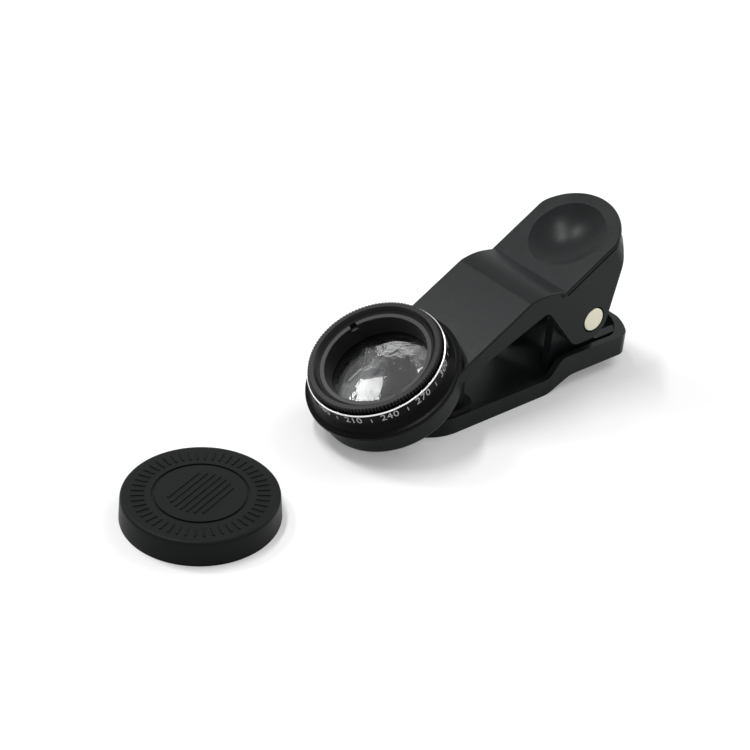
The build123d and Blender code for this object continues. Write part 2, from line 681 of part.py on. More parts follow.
def polarizer_ring():
    """The turning ring: a knurled head to grip, and a sleeve in the barrel that holds the glass."""
    root = HEAD_RADIUS - KNURL_DEPTH
    teeth = []
    for i in range(2 * KNURL_COUNT):
        radius = HEAD_RADIUS if i % 2 == 0 else root
        angle = math.pi * i / KNURL_COUNT
        teeth.append((radius * math.cos(angle), radius * math.sin(angle)))
    head = Pos(0, 0, -HEAD_HEIGHT) * extrude(make_face(Polyline(*teeth, close=True)), amount=HEAD_HEIGHT)
    rim = HEAD_RADIUS - HEAD_CHAMFER
    bevel = [(0, 0), (rim, 0), (HEAD_RADIUS, -HEAD_CHAMFER), (HEAD_RADIUS, -HEAD_HEIGHT), (0, -HEAD_HEIGHT)]
    head = head & turned(bevel, sharp(bevel))
    snap_half = SNAP_WIRE_RADIUS + SNAP_GAP
    snap_inner = SNAP_RING_RADIUS - SNAP_WIRE_RADIUS - 2 * SNAP_GAP
    sleeve = [
        (0, -HEAD_HEIGHT / 2),
        (SLEEVE_RADIUS, -HEAD_HEIGHT / 2),
        (SLEEVE_RADIUS, -SNAP_DEPTH + snap_half),
        (snap_inner, -SNAP_DEPTH + snap_half),
        (snap_inner, -SNAP_DEPTH - snap_half),
        (SLEEVE_RADIUS, -SNAP_DEPTH - snap_half),
        (SLEEVE_RADIUS, -SLEEVE_END_DEPTH),
        (0, -SLEEVE_END_DEPTH),
    ]
    bore = [
        (0, HEAD_HEIGHT),
        (MOUTH_RADIUS, HEAD_HEIGHT),
        (MOUTH_RADIUS, 0),
        (STEP_RADIUS, -STEP_DEPTH),
        (STEP_RADIUS, -STEP_DEPTH - HEAD_CHAMFER),
        (SEAT_RADIUS, -RETAINER_DEPTH),
        (SEAT_RADIUS, -STACK_END_DEPTH),
        (SHOULDER_RADIUS, -STACK_END_DEPTH),
        (SHOULDER_RADIUS, -POCKET_DEPTH),
        (0, -POCKET_DEPTH),
    ]
    return on_lens(head + turned(sleeve, sharp(sleeve)) - turned(bore, sharp(bore)))


def retaining_ring():
    """The ring that holds the glass down, with two slots for a spanner in its front."""
    corners = [
        (RETAINER_BORE, -RETAINER_DEPTH),
        (RETAINER_RADIUS, -RETAINER_DEPTH),
        (RETAINER_RADIUS, -GLASS_DEPTH),
        (RETAINER_BORE - RETAINER_FLARE, -GLASS_DEPTH),
    ]
    ring = turned(corners, [RETAINER_EDGE_ROUND, 0, 0, 0])
    for half_turn in (0, 180):
        slot = Box(2 * RETAINER_RADIUS, SLOT_WIDTH, 2 * SLOT_DEPTH)
        ring = ring - Rot(0, 0, SLOT_ANGLE + half_turn) * Pos(RETAINER_RADIUS, 0, -RETAINER_DEPTH) * slot
    return on_lens(ring)


def disc(depth, thickness):
    """Returns one flat disc of the filter, between two depths under the lens's front face."""
    return on_lens(Pos(0, 0, -depth - thickness / 2) * Cylinder(GLASS_RADIUS, thickness))


def snap_wire():
    """The open wire ring that lies half in the barrel's groove and half in the filter ring's."""
    section = Plane.XZ * Pos(SNAP_RING_RADIUS, -SNAP_DEPTH) * Circle(SNAP_WIRE_RADIUS)
    return on_lens(revolve(section, axis=Axis.Z, revolution_arc=SNAP_ARC))


def lens_cap():
    """The push-on cap: a shallow cup lying mouth down, with a ring groove in its face."""
    top = CAP_RADIUS - CAP_DRAFT
    bore = HEAD_RADIUS + CAP_BORE_GAP
    groove = CAP_GROOVE_RADIUS - CAP_GROOVE_WIDTH / 2
    corners = [
        (0, CAP_HEIGHT - CAP_FACE_WALL),
        (bore, CAP_HEIGHT - CAP_FACE_WALL),
        (bore, 0),
        (CAP_RADIUS, 0),
        (top, CAP_HEIGHT),
        (groove + CAP_GROOVE_WIDTH, CAP_HEIGHT),
        (groove + CAP_GROOVE_WIDTH, CAP_HEIGHT - CAP_GROOVE_DEPTH),
        (groove, CAP_HEIGHT - CAP_GROOVE_DEPTH),
        (groove, CAP_HEIGHT),
        (0, CAP_HEIGHT),
    ]
    rounds = sharp(corners)
    rounds[4] = CAP_EDGE_ROUND
    return Pos(CAP_X, CAP_Y, 0) * turned(corners, rounds)


PARTS = {
    "lower_arm": lower_arm(),
    "upper_arm": upper_arm(),
    "hinge_pin": hinge_pin(),
    "torsion_spring": torsion_spring(),
    "jaw_pad": jaw_pad(),
    "ring_pad": ring_pad(),
    "lens_barrel": lens_barrel(),
    "snap_wire": snap_wire(),
    "polarizer_ring": polarizer_ring(),
    "retaining_ring": retaining_ring(),
    "front_glass": disc(GLASS_DEPTH, GLASS_THICKNESS),
    "polarizing_film": disc(FILM_DEPTH, POLARIZER_THICKNESS),
    "retarder_film": disc(RETARDER_DEPTH, RETARDER_THICKNESS),
    "rear_glass": disc(REAR_GLASS_DEPTH, GLASS_THICKNESS),
    "lens_cap": lens_cap(),
}

os.makedirs("parts", exist_ok=True)
for name, solid in PARTS.items():
    export_step(solid, f"parts/{name}.step")
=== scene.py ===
"""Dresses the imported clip-on polarizing lens: finishes, turned rings, glass, marks, a cap and a studio."""
import json
import math
import bmesh
import bpy
import numpy as np
from bpy.props import FloatProperty, FloatVectorProperty, IntProperty
from mathutils import Matrix, Vector


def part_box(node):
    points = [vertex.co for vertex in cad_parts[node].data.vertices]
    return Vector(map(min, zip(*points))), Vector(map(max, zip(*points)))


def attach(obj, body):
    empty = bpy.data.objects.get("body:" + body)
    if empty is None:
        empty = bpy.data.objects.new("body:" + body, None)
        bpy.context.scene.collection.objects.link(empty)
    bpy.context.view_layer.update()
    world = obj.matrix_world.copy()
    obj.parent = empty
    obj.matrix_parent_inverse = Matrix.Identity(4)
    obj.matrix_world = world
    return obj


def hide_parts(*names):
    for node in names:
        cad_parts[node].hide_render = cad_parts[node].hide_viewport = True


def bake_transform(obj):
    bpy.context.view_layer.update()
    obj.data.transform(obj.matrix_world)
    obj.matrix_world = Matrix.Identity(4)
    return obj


bl_info = {
    "name": "Clip-on polarizing lens",
    "version": (1, 0, 0),
    "blender": (4, 5, 0),
    "location": "View3D > Sidebar > Clip Lens",
    "description": "Builds the turned rings, glass, marks, cap and finishes of a clip-on polarizing lens",
    "category": "Object",
}

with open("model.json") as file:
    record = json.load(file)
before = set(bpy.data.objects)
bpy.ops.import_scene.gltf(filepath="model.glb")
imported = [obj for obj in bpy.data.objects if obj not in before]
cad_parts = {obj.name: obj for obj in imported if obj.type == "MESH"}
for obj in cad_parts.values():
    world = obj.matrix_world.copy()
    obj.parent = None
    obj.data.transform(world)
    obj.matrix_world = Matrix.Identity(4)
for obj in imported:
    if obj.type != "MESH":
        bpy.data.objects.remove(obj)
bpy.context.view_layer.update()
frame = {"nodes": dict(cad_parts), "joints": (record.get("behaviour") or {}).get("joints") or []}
NODES = frame["nodes"]
TURN = next(joint for joint in frame["joints"] if joint["name"] == "polarizer")
CAP_LOW, CAP_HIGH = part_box("lens_cap")
MM = 0.001
# The most of a side that one rounded corner takes, and the short straight before and after each round
LARGEST_ROUND = 0.45
LEAD = 0.08 * MM
LEAD_SHARE = 0.1
# Faces closer than the first angle are one flat, and flats closer than the second share their shading
FLAT_ANGLE = math.radians(0.05)
ROUND_ANGLE = math.radians(38)
# Name, place, length and width, way of the length, and the setting that holds the power
LAMPS = (
    ("strip light", (-0.115, 0.175, 0.57), (0.33, 0.04), (0.71, 0.70, 0), "strip_power"),
    ("small light", (-0.205, 0.450, 0.590), (0.14, 0.12), (-0.85, -0.52, 0), "small_power"),
    ("key light", (0.50, -0.02, 0.48), (0.45, 0.45), (0, 1, 0), "key_power"),
)


def size_in_mm(name, description, millimetres):
    """Returns a length property whose default is given in millimetres."""
    return FloatProperty(name=name, description=description, default=millimetres * MM, unit="LENGTH")


def finish_colour(name, description, *channels):
    """Returns a colour property from its linear red, green and blue."""
    return FloatVectorProperty(name=name, description=description, default=channels, size=3, subtype="COLOR")


class RingSizes(bpy.types.PropertyGroup):
    """Radii and depths of the ring that turns and of its glass. Depths run from its front face."""
    head_radius: size_in_mm("Head radius", "Tips of the knurled ring", 12.5)
    head_chamfer: size_in_mm("Head chamfer", "Bevel of the ring's front edge", 0.14)
    head_height: size_in_mm("Head height", "Height of the knurled band", 1.0)
    knurl_depth: size_in_mm("Knurl depth", "Tip to root", 0.28)
    knurl_count: IntProperty(name="Knurl count", description="Teeth round the ring", default=120)
    mouth_radius: size_in_mm("Mouth radius", "Inner edge of the front face", 11.38)
    step_radius: size_in_mm("Step radius", "Small upright step below the mouth's bevel", 10.95)
    step_top: size_in_mm("Step top", "Depth of the step's top edge", 0.6)
    step_end: size_in_mm("Step end", "Depth of the step's lower edge", 0.74)
    bore_top: size_in_mm("Bore top", "Depth at which the bore begins", 1.05)
    bore_radius: size_in_mm("Bore radius", "Inside of the sleeve", 10.5)
    sleeve_radius: size_in_mm("Sleeve radius", "Outside of the sleeve", 11.3)
    sleeve_end: size_in_mm("Sleeve end", "Depth of the sleeve's end", 7.3)
    shelf_radius: size_in_mm("Shelf radius", "Inner edge of the shelf under the glass", 9.3)
    shelf_depth: size_in_mm("Shelf depth", "Depth of the shelf's top", 6.5)
    glass_radius: size_in_mm("Glass radius", "Edge of the front glass", 10.4)
    glass_top: size_in_mm("Glass top", "Depth of the front glass at its rim", 4.8)
    glass_under: size_in_mm("Glass underside", "Depth of the front glass's flat back", 5.49)
    dome: size_in_mm("Dome", "How far the glass bulges", 0.7)
    dome_rim: size_in_mm("Dome rim", "Radius at which the bulge begins", 9.3)
    round_steps: IntProperty(name="Round steps", description="Points on each rounded corner", default=5)
    segments: IntProperty(name="Segments", description="Steps round a plain ring", default=256)


class BarrelSizes(bpy.types.PropertyGroup):
    """Radii and depths of the fixed barrel and its scale. Depths run from the ring's front face."""
    band_radius: size_in_mm("Band radius", "Radius of the marked band", 13.0)
    band_top: size_in_mm("Band top", "Depth of the barrel's top edge", 1.1)
    band_end: size_in_mm("Band end", "Depth at which the band flares out", 3.3)
    edge_width: size_in_mm("Bright edge", "Width of the bright cut edge", 0.16)
    flare_radius: size_in_mm("Flare radius", "Radius at the foot of the flare", 13.85)
    flare_end: size_in_mm("Flare end", "Depth of the foot of the flare", 5.1)
    flange_radius: size_in_mm("Flange radius", "Radius of the widest rim", 14.75)
    flange_top: size_in_mm("Flange top", "Depth of the widest rim's top", 5.3)
    flange_under: size_in_mm("Flange underside", "Depth of the widest rim's underside", 6.2)
    nose_radius: size_in_mm("Nose radius", "The part that sits in the arm", 12.1)
    nose_end: size_in_mm("Nose end", "Depth of the barrel's end", 9.55)
    bore_radius: size_in_mm("Bore radius", "Inside, round the turning ring", 11.35)
    seat_depth: size_in_mm("Seat depth", "Depth of the seat under the turning ring", 7.45)
    window_radius: size_in_mm("Window radius", "Opening at the back", 9.5)
    window_end: size_in_mm("Window end", "Depth at which the opening begins to widen", 8.25)
    mouth_radius: size_in_mm("Mouth radius", "Opening at the barrel's end", 10.2)
    mark_step: IntProperty(name="Mark step", description="Degrees from one number to the next", default=30)
    mark_height: size_in_mm("Mark height", "Height of the numbers", 1.5)
    mark_base: size_in_mm("Mark base", "Depth of the numbers' feet", 2.98)
    mark_relief: size_in_mm("Mark relief", "Thickness of the ink", 0.03)
    line_width: size_in_mm("Line width", "Width of the line between two numbers", 0.16)
    line_share: FloatProperty(
        name="Line share", description="Height of a line as a share of a number's",
        default=0.6, subtype="FACTOR"
    )


class CapSizes(bpy.types.PropertyGroup):
    """Sizes of the push-on cap."""
    radius: size_in_mm("Radius", "Radius at the mouth", 13.74)
    draft: size_in_mm("Draft", "How much narrower the top is", 0.3)
    edge_round: size_in_mm("Edge round", "Round of the top edge", 0.6)
    bore: size_in_mm("Bore", "Radius inside the mouth", 12.65)
    face_wall: size_in_mm("Face wall", "Thickness of the face", 1.2)
    groove_radius: size_in_mm("Groove radius", "Radius of the ring groove", 8.0)
    groove_width: size_in_mm("Groove width", "Width of the ring groove", 0.5)
    groove_depth: size_in_mm("Groove depth", "Depth of the ring groove", 0.3)
    rib_width: size_in_mm("Rib width", "Width of a raised rib at its foot", 0.42)
    rib_taper: size_in_mm("Rib taper", "How far a rib's sides lean in", 0.07)
    rib_relief: size_in_mm("Rib relief", "Height of the ribs", 0.16)
    rib_root: size_in_mm("Rib root", "How far a rib reaches into the face", 0.05)
    ray_count: IntProperty(name="Rays", description="Raised rays round the face", default=48)
    ray_start: size_in_mm("Ray start", "Radius of a ray's inner end", 9.4)
    ray_end: size_in_mm("Ray end", "Radius of a ray's outer end", 11.7)
    bar_count: IntProperty(name="Bars", description="Raised bars across the middle", default=7)
    bar_spread: size_in_mm("Bar spread", "From the middle to the last bar", 3.6)
    bar_circle: size_in_mm("Bar circle", "Radius of the circle that the bars fill", 5.6)
    bar_slant: FloatProperty(
        name="Bar slant", description="How far the bars are turned", default=math.radians(20), unit="ROTATION"
    )


class FinishColours(bpy.types.PropertyGroup):
    """Colours of the finishes, as linear values."""
    plastic: finish_colour("Plastic", "Moulded arms", 0.0125, 0.0145, 0.0150)
    cap: finish_colour("Cap", "Push-on cap", 0.0065, 0.0072, 0.0072)
    rubber: finish_colour("Rubber", "Soft pads", 0.004, 0.004, 0.004)
    anodised: finish_colour("Anodised", "Black turned rings", 0.006, 0.006, 0.006)
    gloss: finish_colour("Gloss black", "The fixed barrel", 0.002, 0.002, 0.002)
    bright: finish_colour("Bright cut", "Bare cut metal", 0.86, 0.86, 0.87)
    pin: finish_colour("Pin", "Head of the hinge pin", 0.655, 0.635, 0.505)
    wire: finish_colour("Wire", "Spring and snap wire", 0.5, 0.5, 0.51)
    marks: finish_colour("Marks", "Printed marks", 0.50, 0.50, 0.50)
    film: finish_colour("Film", "Tint of the polarizing film", 0.30, 0.31, 0.32)


class StudioSettings(bpy.types.PropertyGroup):
    """Camera and light."""
    focal: FloatProperty(
        name="Focal length", description="On a 36 mm wide sensor", default=77.635, unit="CAMERA"
    )
    azimuth: FloatProperty(
        name="Azimuth", description="Round the object", default=math.radians(-40.2958), unit="ROTATION"
    )
    elevation: FloatProperty(
        name="Elevation", description="Above the floor", default=math.radians(32.9201), unit="ROTATION"
    )
    roll: FloatProperty(
        name="Roll", description="About the view's own axis", default=math.radians(3.9678), unit="ROTATION"
    )
    distance: size_in_mm("Distance", "From the point looked at", 311.95)
    target: FloatVectorProperty(
        name="Target", description="Point looked at",
        default=(-9.59 * MM, 13.47 * MM, 0.0), size=3, unit="LENGTH"
    )
    strip_power: FloatProperty(
        name="Strip light", description="Power of the long light overhead", default=1.4, unit="POWER"
    )
    small_power: FloatProperty(
        name="Small light", description="Power of the light that the glass shows", default=1.15, unit="POWER"
    )
    key_power: FloatProperty(
        name="Key light", description="Power of the broad light", default=1.4, unit="POWER"
    )
    sky: FloatProperty(name="Sky", description="Strength of the surroundings", default=0.42, subtype="FACTOR")
    glow: FloatProperty(
        name="Paper glow", description="Light that the floor adds where it is seen",
        default=0.20, subtype="FACTOR"
    )
    shadow_reach: size_in_mm("Shadow reach", "Distance within which the floor keeps its own tone", 150)
    white_reach: size_in_mm("White reach", "Distance beyond which the floor shows white", 600)


# Surfaces worked out as whole arrays

def lens_frame():
    """Returns the lens's origin and its three axes: across the slope, along the pin, and out of the front."""
    out = np.array(TURN["axis"], float)
    out /= np.linalg.norm(out)
    along = np.array([0.0, 1.0, 0.0])
    up_slope = np.cross(along, out)
    return np.array(TURN["pos_m"], float), up_slope, along, out


def cap_frame():
    """Returns the cap's origin, on the floor at the middle of its mouth, and the plain axes."""
    middle = np.array([(CAP_LOW.x + CAP_HIGH.x) / 2, (CAP_LOW.y + CAP_HIGH.y) / 2, CAP_LOW.z])
    return middle, np.array([1.0, 0, 0]), np.array([0, 1.0, 0]), np.array([0, 0, 1.0])


def rounded_outline(corners, rounds, steps):
    """Returns a closed outline with each corner as an arc, and a point close before and after each arc.

    An arc of radius r leaves each side at r over the tangent of half the corner's angle. Its points turn
    evenly from the first tangent point to the second about the arc's centre, which lies on the bisector.
    """
    corner = np.array(corners, float)
    before = np.roll(corner, 1, 0) - corner
    after = np.roll(corner, -1, 0) - corner
    before_length = np.linalg.norm(before, axis=1, keepdims=True)
    after_length = np.linalg.norm(after, axis=1, keepdims=True)
    shorter = np.minimum(before_length, after_length)
    before /= before_length
    after /= after_length
    half = np.arccos(np.clip((before * after).sum(1, keepdims=True), -0.9999, 0.9999)) / 2
    radius = np.array(rounds, float)[:, None]
    reach = np.minimum(radius / np.tan(half), LARGEST_ROUND * shorter)
    radius = reach * np.tan(half)
    bisector = before + after
    bisector /= np.linalg.norm(bisector, axis=1, keepdims=True)
    centre = corner + bisector * radius / np.sin(half)
    first = corner + before * reach - centre
    last = corner + after * reach - centre
    turn = math.pi - 2 * half
    share = np.linspace(0, 1, steps)[None, :, None]
    spread = np.maximum(np.sin(turn), 1e-9)[:, :, None]
    turn = turn[:, :, None]
    arc = np.sin((1 - share) * turn) * first[:, None] + np.sin(share * turn) * last[:, None]
    arc = centre[:, None] + arc / spread
    lead = np.minimum(LEAD, LEAD_SHARE * shorter)
    entry = corner + before * (reach + lead)
    leave = corner + after * (reach + lead)
    return np.concatenate([entry[:, None], arc, leave[:, None]], axis=1).reshape(-1, 2)


def turned_grid(outline, angles, place, change=None):
    """Returns points for an outline of (radius, height) carried round an axis.

    Each point is the origin, plus the radius times the cosine and sine of the angle along two axes, plus
    the height along the third. The change, if any, is added to the radius.
    """
    origin, first, second, out = place
    radius = np.repeat(outline[None, :, 0], len(angles), 0)
    height = np.repeat(outline[None, :, 1], len(angles), 0)
    if change is not None:
        radius = radius + change(radius, height, angles[:, None])
    across = np.cos(angles)[:, None, None] * first + np.sin(angles)[:, None, None] * second
    return origin + radius[:, :, None] * across + height[:, :, None] * out


def mesh_from_grid(name, grid):
    """Makes a mesh of four-sided faces from a grid of points that closes on itself both ways.

    The face at step i, j joins the points i, j to i + 1, j + 1. Its UV map holds the share of the way
    round and the length along the outline in millimetres.
    """
    rows, columns = grid.shape[:2]
    index = np.arange(rows * columns).reshape(rows, columns)
    next_row = np.roll(index, -1, 0)
    faces = np.stack([index, next_row, np.roll(next_row, -1, 1), np.roll(index, -1, 1)], axis=2).reshape(-1, 4)
    step = np.linalg.norm(np.diff(np.concatenate([grid[0], grid[:1, 0]]), axis=0), axis=1)
    length = np.concatenate([[0], np.cumsum(step)]) / MM
    u = np.repeat(np.arange(rows)[:, None], columns, 1) / rows
    v = np.repeat(length[None, :-1], rows, 0)
    v_next = np.repeat(length[None, 1:], rows, 0)
    u_next = u + 1 / rows
    uv = np.stack([np.stack([u, u_next, u_next, u], 2), np.stack([v, v, v_next, v_next], 2)], 3)
    mesh = bpy.data.meshes.new(name)
    mesh.vertices.add(rows * columns)
    mesh.vertices.foreach_set("co", grid.reshape(-1))
    mesh.loops.add(len(faces) * 4)
    mesh.loops.foreach_set("vertex_index", faces.reshape(-1))
    mesh.polygons.add(len(faces))
    mesh.polygons.foreach_set("loop_start", np.arange(len(faces)) * 4)
    mesh.update(calc_edges=True)
    mesh.uv_layers.new(name="UVMap").data.foreach_set("uv", uv.reshape(-1))
    mesh.shade_smooth()
    mesh.validate()
    return mesh


def bar_field(name, start, end, side, up, width, taper, low, high):
    """Makes a mesh of straight bars, each a closed box between its start and end.

    A bar's eight corners are its start or end, plus or minus half the width along its side direction, plus
    the low or high height along its up direction. The upper four are drawn in by the taper.
    """
    along = (end - start) / np.linalg.norm(end - start, axis=1, keepdims=True)
    rings = []
    for height, draw in ((low, 0.0), (high, taper)):
        half = side * (width / 2 - draw)
        first = start + up * height + along * draw
        last = end + up * height - along * draw
        rings += [first - half, last - half, last + half, first + half]
    corners = np.stack(rings, 1).reshape(-1, 3)
    box = np.array([[3, 2, 1, 0], [4, 5, 6, 7], [0, 1, 5, 4], [1, 2, 6, 5], [2, 3, 7, 6], [3, 0, 4, 7]])
    faces = (box[None] + 8 * np.arange(len(start))[:, None, None]).reshape(-1, 4)
    mesh = bpy.data.meshes.new(name)
    mesh.from_pydata(corners, [], faces)
    return mesh


def joined_meshes(name, meshes):
    """Makes one mesh of several."""
    working = bmesh.new()
    for one in meshes:
        working.from_mesh(one)
    mesh = bpy.data.meshes.new(name)
    working.to_mesh(mesh)
    working.free()
    return mesh


def bent_number(text, height, relief, angle, base, radius, place):
    """Makes a number's mesh, wrapped round the lens.

    A point x along the line of text lies at the angle plus x over the radius, a point y above its foot lies
    that far nearer the front, and its thickness is added to the radius.
    """
    curve = bpy.data.curves.new("number", "FONT")
    curve.body = text
    curve.align_x = "CENTER"
    capital_share = 0.7
    curve.size = height / capital_share
    curve.space_character = 1.08
    curve.extrude = relief
    curve.resolution_u = 3
    written = bpy.data.objects.new("number", curve)
    bpy.context.scene.collection.objects.link(written)
    mesh = bpy.data.meshes.new_from_object(written.evaluated_get(bpy.context.evaluated_depsgraph_get()))
    bpy.data.objects.remove(written)
    point = np.zeros(len(mesh.vertices) * 3)
    mesh.vertices.foreach_get("co", point)
    x, y, z = point.reshape(-1, 3).T
    turn = angle + x / radius
    origin, first, second, out = place
    across = np.cos(turn)[:, None] * first + np.sin(turn)[:, None] * second
    wrapped = origin + (radius + z)[:, None] * across + (y - base)[:, None] * out
    mesh.vertices.foreach_set("co", wrapped.reshape(-1))
    return mesh


def flat_regions(normals, pairs):
    """Returns a region number for each face. Neighbours that lie in one plane share one."""
    level = (normals[pairs[:, 0]] * normals[pairs[:, 1]]).sum(1) > math.cos(FLAT_ANGLE)
    first, second = pairs[level].T
    region = np.arange(len(normals))
    settled = False
    while not settled:
        lowest = np.minimum(region[first], region[second])
        lower = region.copy()
        np.minimum.at(lower, first, lowest)
        np.minimum.at(lower, second, lowest)
        lower = lower[lower]
        settled = np.array_equal(lower, region)
        region = lower
    return region


def blend_normals(mesh, limit):
    """Gives a merged mesh corner normals that keep its flats flat and blend its rounds.

    Faces in one plane make a region. A corner's normal is the sum of area times normal over the regions
    that meet at its point and turn from its own region by less than the limit.
    """
    count = len(mesh.polygons)
    vertex = np.zeros(len(mesh.loops), np.int32)
    edge = np.zeros(len(mesh.loops), np.int32)
    sides = np.zeros(count, np.int32)
    area = np.zeros(count)
    normal = np.zeros(count * 3)
    mesh.loops.foreach_get("vertex_index", vertex)
    mesh.loops.foreach_get("edge_index", edge)
    mesh.polygons.foreach_get("loop_total", sides)
    mesh.polygons.foreach_get("area", area)
    mesh.polygons.foreach_get("normal", normal)
    normal = normal.reshape(-1, 3)
    face = np.repeat(np.arange(count), sides)
    order = np.argsort(edge, kind="stable")
    shared = edge[order][1:] == edge[order][:-1]
    pairs = np.stack([face[order][:-1][shared], face[order][1:][shared]], 1)
    region = flat_regions(normal, pairs)
    region_area = np.bincount(region, area, count)
    weighted = np.stack([np.bincount(region, area * normal[:, axis], count) for axis in range(3)], 1)
    region_normal = weighted / np.maximum(np.linalg.norm(weighted, axis=1, keepdims=True), 1e-20)
    meeting, corner = np.unique(vertex.astype(np.int64) * count + region[face], return_inverse=True)
    point, own = meeting // count, meeting % count
    number = np.bincount(point, minlength=len(mesh.vertices))
    begin = np.cumsum(number) - number
    partners = number[point]
    one = np.repeat(np.arange(len(meeting)), partners)
    other = begin[point[one]] + np.arange(len(one)) - np.repeat(np.cumsum(partners) - partners, partners)
    near = (region_normal[own[one]] * region_normal[own[other]]).sum(1) > math.cos(limit)
    share = region_area[own[other]] * near
    total = [np.bincount(one, share * region_normal[own[other], axis], len(meeting)) for axis in range(3)]
    total = np.stack(total, 1)
    total /= np.maximum(np.linalg.norm(total, axis=1, keepdims=True), 1e-20)
    mesh.shade_smooth()
    mesh.normals_split_custom_set(total[corner].tolist())


def finished_piece(name, mesh, material, body, stands_for=()):
    """Makes an object of a mesh, points its faces outwards, and rides it on a body."""
    working = bmesh.new()
    working.from_mesh(mesh)
    bmesh.ops.remove_doubles(working, verts=working.verts, dist=0.0005 * MM)
    bmesh.ops.recalc_face_normals(working, faces=working.faces)
    working.to_mesh(mesh)
    working.free()
    piece = bpy.data.objects.new(name, mesh)
    bpy.context.scene.collection.objects.link(piece)
    for one in material if isinstance(material, (list, tuple)) else [material]:
        mesh.materials.append(one)
    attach(piece, body)
    if stands_for:
        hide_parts(*stands_for)
    return piece


def ring_piece(name, corners, rounds, place, material, body, stands_for=()):
    """Makes a turned ring or disc from its closed outline of (radius, height) corners."""
    sizes = bpy.context.scene.clip_lens_ring
    outline = rounded_outline(corners, rounds, sizes.round_steps)
    angles = np.linspace(0, 2 * math.pi, sizes.segments, endpoint=False)
    mesh = mesh_from_grid(name, turned_grid(outline, angles, place))
    return finished_piece(name, mesh, material, body, stands_for)


# Finishes

def start_material(name, colour, roughness, metallic=0.0, specular=0.5):
    """Returns a new material with its nodes, links and main shader."""
    material = bpy.data.materials.new(name)
    material.use_nodes = True
    tree = material.node_tree
    shader = tree.nodes["Principled BSDF"]
    shader.inputs["Base Color"].default_value = (*colour, 1)
    shader.inputs["Roughness"].default_value = roughness
    shader.inputs["Metallic"].default_value = metallic
    shader.inputs["Specular IOR Level"].default_value = specular
    return material, tree, shader


def noise_node(tree, scale, detail, vector, roughness=0.5):
    """Returns a noise texture on the given coordinates."""
    node = tree.nodes.new("ShaderNodeTexNoise")
    node.inputs["Scale"].default_value = scale
    node.inputs["Detail"].default_value = detail
    node.inputs["Roughness"].default_value = roughness
    tree.links.new(vector, node.inputs["Vector"])
    return node.outputs["Fac"]


def object_coordinates(tree):
    """Returns the object coordinates of a surface."""
    return tree.nodes.new("ShaderNodeTexCoord").outputs["Object"]


def ranged(tree, value, low, high, from_low=0.3, from_high=0.7):
    """Returns a value carried from one range to another."""
    node = tree.nodes.new("ShaderNodeMapRange")
    node.inputs["From Min"].default_value = from_low
    node.inputs["From Max"].default_value = from_high
    node.inputs["To Min"].default_value = low
    node.inputs["To Max"].default_value = high
    tree.links.new(value, node.inputs["Value"])
    return node.outputs["Result"]


def mixed_colour(tree, share, first, second):
    """Returns a colour between two, by a share."""
    node = tree.nodes.new("ShaderNodeMix")
    node.data_type = "RGBA"
    node.inputs["A"].default_value = (*first, 1)
    node.inputs["B"].default_value = (*second, 1)
    tree.links.new(share, node.inputs["Factor"])
    return node.outputs["Result"]


def bumped(tree, shader, height, strength, distance):
    """Gives a shader a bump from a height."""
    node = tree.nodes.new("ShaderNodeBump")
    node.inputs["Strength"].default_value = strength
    node.inputs["Distance"].default_value = distance
    tree.links.new(height, node.inputs["Height"])
    tree.links.new(node.outputs["Normal"], shader.inputs["Normal"])


def tinted(colour, share):
    """Returns a colour made lighter or darker by a share."""
    return tuple(channel * share for channel in colour)


def moulded_black(name, colour, roughness, grain, specular):
    """Satin moulded plastic: a fine spark-eroded grain and cloudy differences in gloss."""
    material, tree, shader = start_material(name, colour, roughness, specular=specular)
    place = object_coordinates(tree)
    cloud = noise_node(tree, scale=160, detail=3, vector=place)
    tree.links.new(mixed_colour(tree, cloud, tinted(colour, 0.85), tinted(colour, 1.2)), shader.inputs["Base Color"])
    tree.links.new(ranged(tree, cloud, roughness - 0.04, roughness + 0.05), shader.inputs["Roughness"])
    fine = noise_node(tree, scale=grain, detail=4, vector=place, roughness=0.6)
    bumped(tree, shader, fine, strength=0.35, distance=0.02 * MM)
    return material


def turned_metal(name, colour, roughness, metallic, lines, specular=0.5):
    """Turned metal: fine lathe lines along the outline, from the piece's own UV map."""
    material, tree, shader = start_material(name, colour, roughness, metallic, specular)
    uv = tree.nodes.new("ShaderNodeUVMap")
    uv.uv_map = "UVMap"
    scale = tree.nodes.new("ShaderNodeMapping")
    scale.inputs["Scale"].default_value = (1.5, lines, 1)
    tree.links.new(uv.outputs["UV"], scale.inputs["Vector"])
    groove = noise_node(tree, scale=1.0, detail=2, vector=scale.outputs["Vector"])
    tree.links.new(ranged(tree, groove, roughness - 0.05, roughness + 0.07), shader.inputs["Roughness"])
    bumped(tree, shader, groove, strength=0.18, distance=0.01 * MM)
    return material


def soft_rubber(name, colour):
    """Matt rubber with a faint dusty mottling."""
    material, tree, shader = start_material(name, colour, roughness=0.62, specular=0.08)
    place = object_coordinates(tree)
    dust = noise_node(tree, scale=900, detail=5, vector=place, roughness=0.6)
    tree.links.new(mixed_colour(tree, dust, tinted(colour, 0.8), tinted(colour, 1.6)), shader.inputs["Base Color"])
    fine = noise_node(tree, scale=5200, detail=3, vector=place)
    bumped(tree, shader, fine, strength=0.4, distance=0.02 * MM)
    return material


def pressed_pin(name, colour):
    """Bright plated metal with a faint orange-peel."""
    material, tree, shader = start_material(name, colour, roughness=0.34, metallic=1.0)
    place = object_coordinates(tree)
    cloud = noise_node(tree, scale=700, detail=3, vector=place)
    tree.links.new(ranged(tree, cloud, low=0.28, high=0.4), shader.inputs["Roughness"])
    peel = noise_node(tree, scale=1500, detail=2, vector=place)
    bumped(tree, shader, peel, strength=0.15, distance=0.02 * MM)
    return material


